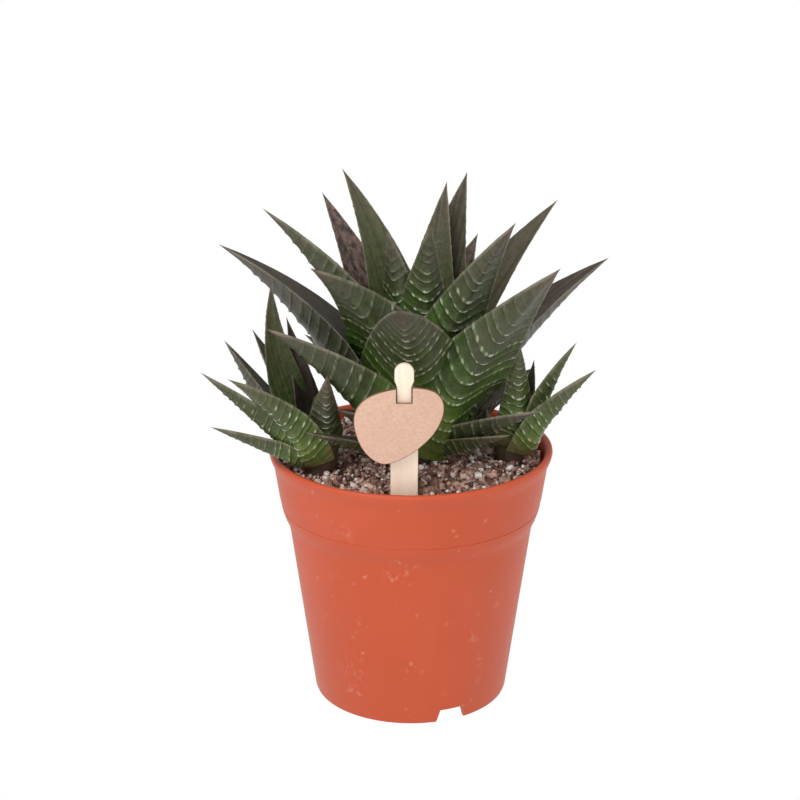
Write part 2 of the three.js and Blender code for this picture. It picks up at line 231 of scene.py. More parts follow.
def pot_outside():
    """From under the floor over the foot ring, wall, collar and lip to the lip's inner edge."""
    ring_inside = FOOT_RADIUS - FOOT_RING_WIDTH
    lip_foot = POT_HEIGHT - LIP_DEPTH
    groove_radius = COLLAR_FOOT_RADIUS + 0.36
    return [
        (ring_inside - 0.6, FLOOR_HEIGHT),
        (ring_inside, FLOOR_HEIGHT - 0.8),
        (ring_inside, 0.3),
        (ring_inside + 0.3, 0),
        (FOOT_RADIUS - 0.9, 0),
        (FOOT_RADIUS - 0.3, 0.35),
        (FOOT_RADIUS, 1.1),
        (WALL_TOP_RADIUS - 0.52, WALL_TOP_HEIGHT - 4),
        (WALL_TOP_RADIUS - 0.22, WALL_TOP_HEIGHT - 2.2),
        (WALL_TOP_RADIUS + 0.12, WALL_TOP_HEIGHT - 0.6),
        (WALL_TOP_RADIUS + 0.6, WALL_TOP_HEIGHT + 0.6),
        (WALL_TOP_RADIUS + 1.2, WALL_TOP_HEIGHT + 1.6),
        (COLLAR_FOOT_RADIUS - 0.1, COLLAR_FOOT_HEIGHT),
        (groove_radius - 0.02, PARTING_LINE - GROOVE),
        (groove_radius - GROOVE, PARTING_LINE),
        (groove_radius + 0.02, PARTING_LINE + GROOVE),
        (COLLAR_TOP_RADIUS - 1.45, lip_foot - 9.8),
        (COLLAR_TOP_RADIUS - 0.95, lip_foot - 6.4),
        (COLLAR_TOP_RADIUS - 0.4, lip_foot - 2.8),
        (COLLAR_TOP_RADIUS, lip_foot),
        (COLLAR_TOP_RADIUS + 0.3, lip_foot + 1),
        (COLLAR_TOP_RADIUS + 0.9, lip_foot + 2.2),
        (LIP_RADIUS - 0.15, POT_HEIGHT - 1.9),
        (LIP_RADIUS, POT_HEIGHT - 1.1),
        (LIP_RADIUS - 0.12, POT_HEIGHT - 0.5),
        (LIP_RADIUS - 0.5, POT_HEIGHT - 0.1),
        (LIP_RADIUS - 0.95, POT_HEIGHT),
        (LIP_RADIUS - 1.45, POT_HEIGHT - 0.1),
        (LIP_RADIUS - 1.95, POT_HEIGHT - 0.45),
        (LIP_RADIUS - 2.4, POT_HEIGHT - 1.2),
    ]


def directions(openings):
    """The directions, in radians, of openings that are set evenly round the pot's axis."""
    first, count = openings["first"], openings["count"]
    return [math.radians(first + i * 360 / count) for i in range(count)]


pot = turn("nursery_pot", [*pot_outside(), *reversed(pot_inside(0))], POT_SIDES)

for angle in directions(NOTCH):
    bpy.ops.mesh.primitive_cube_add(size=1)
    wedge = bpy.context.object
    foot_half = NOTCH["width"] / 2
    inner_radius = FOOT_RADIUS - NOTCH["inwards"]
    for vertex in wedge.data.vertices:
        low = vertex.co.z < 0
        half = foot_half if low else foot_half - NOTCH["slant"]
        radius = inner_radius + (vertex.co.x + 0.5) * 3 * FOOT_RING_WIDTH
        side = math.copysign(half, vertex.co.y)
        vertex.co = Vector((radius, side, -1 if low else NOTCH["height"])) * MM
    wedge.rotation_euler.z = angle
    wedge.location = POT_AXIS
    cut(pot, wedge)

for angle in directions(DRAIN):
    place = (DRAIN["circle"] * math.cos(angle), DRAIN["circle"] * math.sin(angle))
    bpy.ops.mesh.primitive_cylinder_add(
        vertices=32,
        radius=DRAIN["radius"] * MM,
        depth=4 * WALL * MM,
        location=millimetres(*place, FLOOR_HEIGHT + WALL / 2),
    )
    cut(pot, bpy.context.object)
finish_shape(pot)


def add_node(tree, kind, inputs=None, **settings):
    """A shader node. An input that is given another node's socket is linked to it."""
    made = tree.nodes.new(kind)
    for key, value in settings.items():
        setattr(made, key, value)
    for socket, value in (inputs or {}).items():
        if isinstance(value, bpy.types.NodeSocket):
            tree.links.new(value, made.inputs[socket])
        else:
            made.inputs[socket].default_value = value
    return made


def sums(tree, operation, first, second=0.0, third=0.0, clamp=False):
    """The result of a sum on numbers or sockets."""
    inputs = {0: first, 1: second, 2: third}
    return add_node(tree, "ShaderNodeMath", inputs, operation=operation, use_clamp=clamp).outputs[0]


def between(tree, value, low, high, at_low=0.0, at_high=1.0, smooth=True):
    """A value brought from the range low to high to the range at_low to at_high."""
    inputs = {"Value": value, 1: low, 2: high, 3: at_low, 4: at_high}
    kind = "SMOOTHSTEP" if smooth else "LINEAR"
    return add_node(tree, "ShaderNodeMapRange", inputs, interpolation_type=kind).outputs["Result"]


def blend(tree, share, first, second, way="MIX"):
    """The second colour laid over the first by a share. A colour is a triple or a socket."""
    inputs = {0: share}
    for socket, color in ((6, first), (7, second)):
        inputs[socket] = (*color, 1) if isinstance(color, tuple) else color
    made = add_node(tree, "ShaderNodeMix", inputs, data_type="RGBA", blend_type=way)
    return made.outputs[2]


def shade(tree, share, skin, factor):
    """A colour multiplied by a factor for each channel, by a share."""
    return blend(tree, share, skin, blend(tree, 1.0, skin, factor, "MULTIPLY"))


def object_place(tree):
    """The place in the mesh, in metres."""
    return add_node(tree, "ShaderNodeTexCoord").outputs["Object"]


def painted(tree, name):
    """A value that the mesh carries at its points."""
    return add_node(tree, "ShaderNodeAttribute", attribute_name=name).outputs["Fac"]


def mottle(tree, place, scale, detail=3.0, roughness=0.55):
    """Soft blotches between 0 and 1."""
    inputs = {"Vector": place, "Scale": scale, "Detail": detail, "Roughness": roughness}
    return add_node(tree, "ShaderNodeTexNoise", inputs).outputs["Fac"]


def stretched(tree, place, scale):
    """A place stretched along its axes, so that a pattern on it runs in streaks."""
    return add_node(tree, "ShaderNodeMapping", {"Vector": place, "Scale": scale}).outputs[0]


def raise_surface(tree, surface, height, strength, distance):
    inputs = {"Height": height, "Strength": strength, "Distance": distance}
    bump = add_node(tree, "ShaderNodeBump", inputs)
    tree.links.new(bump.outputs["Normal"], surface.inputs["Normal"])


def scuffs_group():
    """Rubs and specks on a moulded surface: a mask from a place and how much of it is rubbed."""
    group = bpy.data.node_groups.new("scuffs", "ShaderNodeTree")
    group.interface.new_socket("Place", in_out="INPUT", socket_type="NodeSocketVector")
    group.interface.new_socket("Amount", in_out="INPUT", socket_type="NodeSocketFloat")
    group.interface.new_socket("Mask", in_out="OUTPUT", socket_type="NodeSocketFloat")
    start = group.nodes.new("NodeGroupInput")
    end = group.nodes.new("NodeGroupOutput")
    place = start.outputs["Place"]
    patches = between(group, mottle(group, place, 75), 0.57, 0.69)
    fine = between(group, mottle(group, place, 480, 4, 0.6), 0.5, 0.66)
    rubs = sums(group, "MULTIPLY", patches, fine)
    specks = between(group, mottle(group, place, 260, 1), 0.73, 0.78)
    both = sums(group, "ADD", rubs, specks)
    mask = sums(group, "MULTIPLY", both, start.outputs["Amount"], clamp=True)
    group.links.new(mask, end.inputs["Mask"])
    return group


scuffs = scuffs_group()


def pot_plastic():
    material, tree, surface = start_material("terracotta_plastic", {"Specular IOR Level": 0.28})
    place = object_place(tree)
    cloudy = between(tree, mottle(tree, place, 26, 2), 0.35, 0.7)
    plastic = blend(tree, cloudy, (0.52, 0.080, 0.029), (0.56, 0.092, 0.040))
    height = add_node(tree, "ShaderNodeSeparateXYZ", {0: place}).outputs["Z"]
    low = between(tree, height, 0.0, 0.05, 0.5, 0.0)
    plastic = blend(tree, low, plastic, (0.47, 0.062, 0.014))
    rubbed = add_node(tree, "ShaderNodeGroup", node_tree=scuffs)
    tree.links.new(place, rubbed.inputs["Place"])
    rubbed.inputs["Amount"].default_value = 0.6
    mask = rubbed.outputs["Mask"]
    plastic = blend(tree, sums(tree, "MULTIPLY", mask, 0.5), plastic, (0.70, 0.36, 0.27))
    tree.links.new(plastic, surface.inputs["Base Color"])
    dull = sums(tree, "MULTIPLY", mask, 0.2)
    gloss = sums(tree, "ADD", between(tree, cloudy, 0, 1, 0.44, 0.5), dull)
    tree.links.new(gloss, surface.inputs["Roughness"])
    raise_surface(tree, surface, mottle(tree, place, 900, 3), 0.05, 0.0002)
    return material


def set_piece(piece, material, slot, *nodes):
    """Gives a finished piece its material, hangs it on the root and hides the CAD parts it stands
    for.
    """
    piece.data.materials.clear()
    piece.data.materials.append(material)
    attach(piece, "root")
    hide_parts(*nodes)


set_piece(pot, pot_plastic(), "pot_plastic", "pot")


# The soil: a plug of dark peat that fills the pot to just under the lip, crumbly on top, with
# grains of white perlite, chips of bark and pale fibres mixed into it.
GAP = 0.3  # left between neighbours that touch in the real object
SOIL_EDGE_HEIGHT = 79.2
SOIL_MOUND = 1.6  # how much higher the middle is
SOIL_ROUGHNESS = 0.7
SOIL_SIDES = 120
SOIL_BEVEL = 0.3
RING_STEP = 0.9  # between the rings of its top
TOP_DROP = 0.5  # how far the plug's top lies under the nominal height, below the crumbs
CRUMB_HEIGHT = 0.9
EDGE_DROP, EDGE_WIDTH = 1.2, 3  # how far the top sinks towards the wall, and over what width
STEMS = {"main": (1.5, -3, 9.6), "left": (-28, -13, 5.4), "right": (31, -5, 4.8)}  # x, y, radius
STICK_AT = (-2.2, -36.4)
STICK_ROOM = (4.8, 1.6)  # the half width and half depth that grains leave free for the stick
GRAIN_SHAPES = 6  # for each kind of grain
ALL_SMOOTH = 180  # an angle for finish_shape that leaves no edge sharp
soil_edge = pot_inside(GAP)[-1][0]


def soil_height(x, y):
    """The height of the soil's top at a place, without its crumbs."""
    share = min(1, math.hypot(x, y) / soil_edge)
    broad = math.sin(0.31 * x + 1.3) * math.cos(0.27 * y - 0.4)
    fine = math.sin(0.83 * x - 0.9 * y + 0.6) * math.cos(0.71 * x + 0.62 * y)
    lumps = SOIL_ROUGHNESS * (0.6 * broad + 0.8 * fine)
    return SOIL_EDGE_HEIGHT + SOIL_MOUND * (1 - share**2) + lumps


soil_side = [point for point in pot_inside(GAP) if point[1] < SOIL_EDGE_HEIGHT]
soil_rim = (soil_edge - SOIL_BEVEL, SOIL_EDGE_HEIGHT - EDGE_DROP)
soil_top = [
    (soil_edge - SOIL_BEVEL - RING_STEP * ring, SOIL_EDGE_HEIGHT)
    for ring in range(int(soil_edge / RING_STEP) - 1)
]
soil = turn("soil_plug", [*soil_side, soil_rim, *soil_top], SOIL_SIDES)
for vertex in soil.data.vertices:
    x, y, z = (vertex.co - POT_AXIS) / MM
    if z > SOIL_EDGE_HEIGHT - EDGE_DROP / 2:
        uneven = CRUMB_HEIGHT * noise.fractal(Vector((x, y, 0)) * 0.55, 0.6, 2.1, 4)
        sunk = EDGE_DROP * max(0, math.hypot(x, y) - soil_edge + EDGE_WIDTH) / EDGE_WIDTH
        vertex.co.z = (soil_height(x, y) - TOP_DROP + uneven - sunk) * MM
finish_shape(soil, ALL_SMOOTH)


def peat():
    dull = {"Roughness": 0.92, "Specular IOR Level": 0.25}
    material, tree, surface = start_material("peat", dull)
    place = object_place(tree)
    paler = sums(tree, "POWER", painted(tree, "tint"), 1.4)
    earth = blend(tree, paler, (0.24, 0.115, 0.088), (0.84, 0.56, 0.45))
    grains = between(tree, mottle(tree, place, 700, 4, 0.65), 0.38, 0.65)
    earth = shade(tree, grains, earth, (0.55, 0.48, 0.46))
    pale = between(tree, mottle(tree, place, 1500, 2), 0.62, 0.7)
    earth = blend(tree, sums(tree, "MULTIPLY", pale, 0.6), earth, (0.42, 0.31, 0.26))
    tree.links.new(earth, surface.inputs["Base Color"])
    raise_surface(tree, surface, mottle(tree, place, 1100, 5, 0.7), 0.7, 0.0006)
    return material


peat_material = peat()
set_piece(soil, peat_material, "potting_soil", "soil")


def lump(uneven, seed):
    """The points and faces of one rough grain, about 2 across."""
    bpy.ops.mesh.primitive_ico_sphere_add(subdivisions=2, radius=1)
    grain = bpy.context.object
    shift = Vector((seed * 7.3, seed * 3.1, seed * 1.7))
    points = [v.co * (1 + uneven * noise.noise(v.co * 1.4 + shift)) for v in grain.data.vertices]
    faces = [tuple(polygon.vertices) for polygon in grain.data.polygons]
    bpy.data.objects.remove(grain)
    return points, faces


def strewn(name, grains, places, draw):
    """One piece out of many grains: each place is a grain's number and its matrix in millimetres.
    Every grain has a random tint."""
    points, faces, tints = [], [], []
    for number, matrix in places:
        shape, sides = grains[number]
        first = len(points)
        points += [millimetres(*(matrix @ point)) for point in shape]
        faces += [tuple(first + corner for corner in side) for side in sides]
        tints += [draw.random()] * len(shape)
    mesh = bpy.data.meshes.new(name)
    mesh.from_pydata(points, [], faces)
    mesh.attributes.new("tint", "FLOAT", "POINT").data.foreach_set("value", tints)
    piece = bpy.data.objects.new(name, mesh)
    bpy.context.scene.collection.objects.link(piece)
    return piece


def is_free(x, y, spread):
    """Whether a grain that reaches out by spread lies clear of the stems, the stick and the pot."""
    if any(math.hypot(x - at_x, y - at_y) <= r + spread for at_x, at_y, r in STEMS.values()):
        return False
    if all(abs(a - b) < room + spread for a, b, room in zip((x, y), STICK_AT, STICK_ROOM)):
        return False
    return math.hypot(x, y) + spread <= soil_edge - 0.2


def on_soil(draw, count, size, sink, flat=1.0, long=1.0):
    """Random places on the soil's top for grains of a size range. A flat grain lies down."""
    places = []
    while len(places) < count:
        radius = (soil_edge - 1.2) * math.sqrt(draw.random())
        angle = draw.uniform(0, 2 * math.pi)
        x, y = radius * math.cos(angle), radius * math.sin(angle)
        grain = draw.uniform(*size)
        turned = [draw.uniform(0, 2 * math.pi) for _ in range(3)]
        if not is_free(x, y, grain * long):
            continue
        if flat < 1:
            turned = [draw.uniform(-0.5, 0.5), draw.uniform(-0.5, 0.5), angle * 3]
        shape = Matrix.Diagonal((grain * long, grain, grain * flat, 1))
        height = soil_height(x, y) + grain * flat * sink
        place = Matrix.Translation((x, y, height)) @ Euler(turned).to_matrix().to_4x4() @ shape
        places.append((draw.randrange(GRAIN_SHAPES), place))
    return places


def lay_grains(name, material, *sorts, seed, uneven, first_shape):
    """One piece out of several sorts of grains that lie on the soil."""
    shapes = [lump(uneven, first_shape + i) for i in range(GRAIN_SHAPES)]
    draw = random.Random(seed)
    places = [place for sort in sorts for place in on_soil(draw, **sort)]
    grains = strewn(name, shapes, places, draw)
    finish_shape(grains, ALL_SMOOTH)
    set_piece(grains, material, "potting_soil", "soil")


def perlite_grit():
    material, tree, surface = start_material("perlite", {"Roughness": 0.85})
    place = object_place(tree)
    tint = between(tree, painted(tree, "tint"), 0.25, 0.75)
    grit = blend(tree, tint, (0.66, 0.49, 0.41), (0.90, 0.85, 0.80))
    dirt = between(tree, mottle(tree, place, 500, 4), 0.45, 0.7, 0.0, 0.65)
    grit = blend(tree, dirt, grit, (0.44, 0.31, 0.25))
    tree.links.new(grit, surface.inputs["Base Color"])
    raise_surface(tree, surface, mottle(tree, place, 1800, 3), 0.5, 0.0003)
    return material


def bark_chip():
    material, tree, surface = start_material("bark", {"Roughness": 0.8})
    place = object_place(tree)
    woody = blend(tree, painted(tree, "tint"), (0.26, 0.145, 0.100), (0.68, 0.48, 0.37))
    layers = mottle(tree, stretched(tree, place, (1, 1, 5)), 420, 4)
    streaks = between(tree, layers, 0.35, 0.65, 0.0, 0.75)
    woody = blend(tree, streaks, woody, (0.13, 0.066, 0.045))
    tree.links.new(woody, surface.inputs["Base Color"])
    raise_surface(tree, surface, layers, 0.6, 0.0004)
    return material


lay_grains(
    "peat_crumbs",
    peat_material,
    {"count": 800, "size": (0.6, 1.35), "sink": -0.1},
    {"count": 1450, "size": (0.22, 0.6), "sink": 0.9},
    seed=11,
    uneven=1.3,
    first_shape=0,
)
lay_grains(
    "perlite_grains",
    perlite_grit(),
    {"count": 110, "size": (0.6, 1.2), "sink": 0.7},
    {"count": 850, "size": (0.2, 0.55), "sink": 1.4},
    seed=5,
    uneven=1.0,
    first_shape=10,
)
lay_grains(
    "bark_chips",
    bark_chip(),
    {"count": 120, "size": (0.45, 1.15), "sink": 1.6, "flat": 0.4, "long": 1.8},
    {"count": 70, "size": (0.16, 0.26), "sink": 4, "flat": 0.8, "long": 8},
    seed=8,
    uneven=1.2,
    first_shape=20,
)


# The rosettes: each plant is one growth, a short stem clasped by fleshy leaves. A leaf is a pointed
# boat with a rounded back and a shallow channel inside, crossed by raised pale ridges that sag
# towards its foot along the keel, and edged by a pale horny margin.
STEM_OUTLINES = {
    "main": [(4.5, 58), (8.6, 77), (9.6, 86), (8.6, 97), (6.2, 109), (2.6, 118), (0.8, 120.2)],
    "left": [(2.4, 60), (4.8, 77), (5.4, 86), (4.6, 94), (2, 103), (0.7, 104.6)],
    "right": [(2.2, 62), (4.2, 77), (4.8, 85), (4, 93), (1.8, 101), (0.6, 102.4)],
}
STEM_SIDES = 48

# One row for each leaf, as in the CAD: direction round the stem, reach, height of the tip, height
# of the root, steepness at the root, width and roll. Then how purple it is, and how fresh a green.
MAIN_LEAVES = [
    (172, 61.9, 147.0, 96, 62, 42, 8, 0.4, 0.0),
    (208, 51.0, 129.6, 90, 52, 37, 22, 0.1, 0.3),
    (223, 46.0, 99.5, 84, 20, 14, 0, 0.25, 0.2),
    (327, 45.5, 104.0, 86.4, 29, 22, -15, 0.25, 0.15),
    (316, 39.7, 97.2, 85, 19, 15, -15, 0.1, 0.25),
    (350, 33.0, 117.0, 88, 50, 28, -20, 0.25, 0.3),
    (23, 42.0, 104.5, 88, 25, 25, 0, 0.3, 0.3),
    (70, 50.0, 118.0, 89, 44, 26, 0, 0.25, 0.3),
    (110, 52.0, 118.0, 89, 42, 26, 0, 0.3, 0.3),
    (142, 46.0, 112.0, 89, 42, 24, 0, 0.3, 0.3),
    (227, 35.0, 104.5, 88.6, 36, 27, 0, 0.15, 0.2),
    (280, 31.0, 107.0, 89, 46, 28, 0, 0.1, 0.5),
    (264.5, 57.0, 144.4, 102, 64, 36, 0, 0.25, 0.5),
    (320, 54.0, 150.8, 88, 58, 36, -38, 0.12, 0.45),
    (7, 60.4, 143.1, 94, 53, 32, 10, 0.7, 0.0),
    (226, 44.8, 150.2, 101, 74, 34, 30, 0.05, 0.6),
    (188, 46.8, 162.0, 101, 70, 28, 35, 0.1, 0.3),
    (138, 40.0, 159.5, 99, 68, 30, 0, 1.0, 0.0),
    (98, 40.0, 138.0, 98, 66, 24, 0, 0.4, 0.2),
    (60, 40.6, 144.0, 98, 64, 26, 0, 0.9, 0.0),
    (316, 39.8, 162.6, 101, 68, 26, -35, 0.1, 0.6),
    (10, 44.3, 161.4, 101, 66, 30, 20, 0.25, 0.2),
    (150, 26.4, 170.0, 110, 83, 23, -25, 0.0, 0.6),
    (56, 29.0, 166.6, 105, 74, 29, 0, 0.3, 0.3),
    (62, 20.6, 164.8, 107, 78, 24, 0, 0.1, 0.4),
    (286, 15.5, 159.2, 108, 84, 22, -10, 0.1, 1.0),
    (216, 11.0, 155.5, 106, 88, 24, 20, 0.05, 0.8),
]
LEFT_LEAVES = [
    (203, 38.2, 116.2, 86, 44, 18, 20, 0.1, 0.5),
    (228, 38.6, 118.5, 86, 57, 20, 20, 0.05, 0.8),
    (205, 36.0, 98.9, 85, 26, 16, 20, 0.2, 0.3),
    (172, 29.8, 120.4, 88, 52, 21, 10, 0.4, 0.3),
    (148, 25.5, 121.2, 89, 58, 13, 0, 0.4, 0.3),
    (165, 15.1, 139.4, 90, 58, 15, -45, 0.0, 0.6),
    (130, 16.9, 125.5, 91, 72, 11, 0, 0.6, 0.2),
    (280, 16.5, 115.8, 88, 66, 13, 0, 0.45, 0.2),
    (112, 13.0, 106.0, 88, 56, 11, 0, 0.3, 0.4),
]
RIGHT_LEAVES = [
    (330, 29.0, 114.3, 86, 56, 18, -20, 0.1, 0.6),
    (358, 20.3, 118.8, 89, 72, 18, -20, 0.05, 0.9),
    (40, 10.0, 111.0, 88, 65, 9, 0, 0.0, 0.9),
    (288, 6.0, 122.0, 87, 81, 13, 0, 0.05, 0.8),
    (170, 7.4, 97.0, 86, 52, 12, 0, 0.2, 0.3),
]

LEAF_START = 3  # from the stem's axis to the leaf's foot
FOOT_NARROWING, FOOT_SHARE = 0.14, 0.22  # how much narrower the foot is, and over what share
BACK_DEPTH, CHANNEL_DEPTH = 0.66, 0.15  # as shares of the half width
ROLL_SHARE = 0.4  # the share of its length over which a leaf turns into its roll
STRONG_ROLL = 20  # from this many degrees on, the keel is sharper and lies off the middle
SHARPNESS = {"plain": 0.1, "rolled": 0.35}
KEEL_SHIFT = 0.4  # how far off the middle it lies, as a share of the half width
SAG_SHIFT = 0.3  # how much of that shift the lowest points of the ridges follow
KEEL_LAG = 0.42  # how far a ridge sags there, as a share of the half width
RIDGE_PITCH = {"width": (14, 20, 24, 28), "pitch": (2.1, 2.6, 3.2, 3.9)}
RIDGE_HEIGHT = 0.34
TIGHTENING = 0.22  # how much closer the ridges stand at the tip
ROWS_TO_A_RIDGE = 8
POINTS_ROUND = 44
WELD = 0.004  # points of the grid that lie closer than this become one
MARGIN_BEAD, MARGIN_WIDTH = 0.35, 0.9  # radius of the rounded margin, and how wide it runs out
HUSK_WIDTH = 21  # narrower leaves have a dry foot


def smooth_step(low, high, value):
    share = np.clip((value - low) / (high - low), 0, 1)
    return share * share * (3 - 2 * share)


def ridge_profile(phase):
    """How high the ridged surface stands at a phase, where each whole number is a valley."""
    part = phase - np.floor(phase)
    crest = np.exp(-(((part - 0.5) / 0.11) ** 2))
    swell = 0.5 - 0.5 * np.cos(2 * np.pi * part)
    return 0.8 * crest + 0.3 * swell


def leaf_grid(name, rows):
    """A flat grid, with the angle round the leaf and the way along it at each of its points."""
    bpy.ops.mesh.primitive_grid_add(x_subdivisions=POINTS_ROUND, y_subdivisions=rows, size=1)
    leaf = bpy.context.object
    leaf.name = name
    flat = np.empty(len(leaf.data.vertices) * 3)
    leaf.data.vertices.foreach_get("co", flat)
    flat = flat.reshape(-1, 3) + 0.5
    return leaf, flat[:, 0] * 2 * np.pi, flat[:, 1]


def arch(start, steep, tip, behind):
    """The points of a leaf's arch, each with the way that the arch runs there, as (out, up)."""
    steep = math.radians(steep)
    chord = np.linalg.norm(tip - start)
    control = start + np.array((math.cos(steep), math.sin(steep))) * chord / 2
    behind = behind[:, None]
    rest = 1 - behind
    at = rest**2 * start + 2 * rest * behind * control + behind**2 * tip
    along = rest * (control - start) + behind * (tip - control)
    return at, along / np.linalg.norm(along, axis=1)[:, None]


def close_leaf(leaf):
    """Welds the long sides of the wrapped grid together and closes the leaf's foot."""
    bpy.ops.object.mode_set(mode="EDIT")
    bpy.ops.mesh.select_all(action="SELECT")
    bpy.ops.mesh.remove_doubles(threshold=WELD * MM)
    bpy.ops.mesh.select_all(action="DESELECT")
    bpy.ops.mesh.select_non_manifold()
    bpy.ops.mesh.edge_face_add()
    bpy.ops.mesh.select_all(action="SELECT")
    bpy.ops.mesh.normals_make_consistent(inside=False)
    bpy.ops.object.mode_set(mode="OBJECT")
    finish_shape(leaf, ALL_SMOOTH)


def grow_leaf(name, foot, row, seed):
    """One leaf, wrapped from a flat grid into a ridged boat and bent along its arch."""
    direction, reach, height, root, steep, width, roll, purple, fresh = row
    start, tip = np.array((LEAF_START, root)), np.array((reach, height))
    chord = np.linalg.norm(tip - start)
    ridges = chord / np.interp(width, RIDGE_PITCH["width"], RIDGE_PITCH["pitch"])
    leaf, angle, progress = leaf_grid(name, round(ridges * ROWS_TO_A_RIDGE))
    across, inner = np.sin(angle), np.cos(angle)
    outer = 1 - smooth_step(-0.12, 0.12, inner)

    # the ridges follow each other unevenly, and closer towards the tip
    phase = progress * ridges
    draw = random.Random(seed)
    a, b, c = (draw.uniform(0, 6.28) for _ in range(3))
    swing = np.sin(2.1 * phase + a) + np.sin(3.4 * phase + b)
    uneven = progress + progress * (1 - progress) * 0.5 / ridges * swing
    share = (1 + TIGHTENING) * uneven - TIGHTENING * uneven**2

    # they sag where the keel runs, and waver
    clasp = 1 - FOOT_NARROWING + FOOT_NARROWING * np.minimum(1, share / FOOT_SHARE)
    half = width / 2 * clasp * np.maximum(0, 1 - share**1.5) ** 1.15
    rolled = abs(roll) >= STRONG_ROLL
    keel = KEEL_SHIFT * np.sign(roll) if rolled else draw.uniform(-0.15, 0.15)
    aside = keel * smooth_step(0.05, 0.35, share) * (1 - across**2)
    off_keel = np.abs(across - aside)
    off_sag = np.abs(across - SAG_SHIFT * aside)
    waver = 0.45 * np.sin(2.3 * across + 0.8 * phase + a)
    waver *= np.sin(0.47 * phase + 1.7 * across + b)
    waver += 0.25 * np.sin(7.1 * across + 2.9 * np.floor(phase) + b)
    behind = share - KEEL_LAG * (1 - off_sag**2) * half / chord
    behind = np.clip(behind + waver * half / (chord * width / 2), 0, 1)

    # how far the ridges stand out of the section, which ends in a rounded margin
    ridged = smooth_step(0.05, 0.14, share) * (1 - smooth_step(0.8, 0.95, share))
    tall = 0.8 + 0.3 * np.sin(1.3 * np.floor(phase) + c) + 0.8 * np.exp(-((off_sag / 0.16) ** 2))
    lift = RIDGE_HEIGHT * ridge_profile(phase) * ridged * tall * (0.15 + 0.85 * outer)
    lift *= min(1, width / 20) * np.where(outer > 0.5, 0.45 + 0.55 * (1 - across**4), 1)
    sharp = SHARPNESS["rolled" if rolled else "plain"]
    back = -BACK_DEPTH * (1 - off_keel ** (2.1 - sharp * smooth_step(0.05, 0.45, share)))
    channel = -CHANNEL_DEPTH * (1 - np.abs(across) ** 1.6)
    section = np.where(inner < 0, back, channel)
    from_margin = (1 - np.abs(across)) * half
    bead = MARGIN_BEAD * np.exp(-((from_margin / MARGIN_WIDTH) ** 2)) * np.minimum(1, half / 1.5)
    side = across * (half + lift * np.abs(across)) + bead * across
    facing = np.where(outer > 0.5, -1, 1)
    depth = section * half * (1 + share / 2) + facing * lift * (1 - np.abs(across)) + bead * inner

    # the section rolled, stood across the arch and turned into the leaf's direction
    turned = np.radians(roll) * np.minimum(1, share / ROLL_SHARE)
    sideways = side * np.cos(turned) - depth * np.sin(turned)
    inwards = side * np.sin(turned) + depth * np.cos(turned)
    at, along = arch(start, steep, tip, behind)
    out = at[:, 0] - along[:, 1] * inwards
    up = at[:, 1] + along[:, 0] * inwards
    cos, sin = math.cos(math.radians(direction)), math.sin(math.radians(direction))
    x = foot[0] + out * cos - sideways * sin
    y = foot[1] + out * sin + sideways * cos
    placed = np.stack((x, y, up), axis=1) * MM + np.array(POT_AXIS)
    leaf.data.vertices.foreach_set("co", placed.ravel())

    every = np.ones(len(share))
    for key, values in {
        "along": behind,
        "span": side,
        "inset": from_margin,
        "off_sag": off_sag * half,
        "phase": phase,
        "outer": outer,
        "purple": every * purple,
        "fresh": every * fresh,
        "husk": every * (width < HUSK_WIDTH),
        "seed": every * seed * 1.37,
    }.items():
        carried = leaf.data.attributes.new(key, "FLOAT", "POINT")
        carried.data.foreach_set("value", values.astype(np.float32))
    close_leaf(leaf)
    return leaf


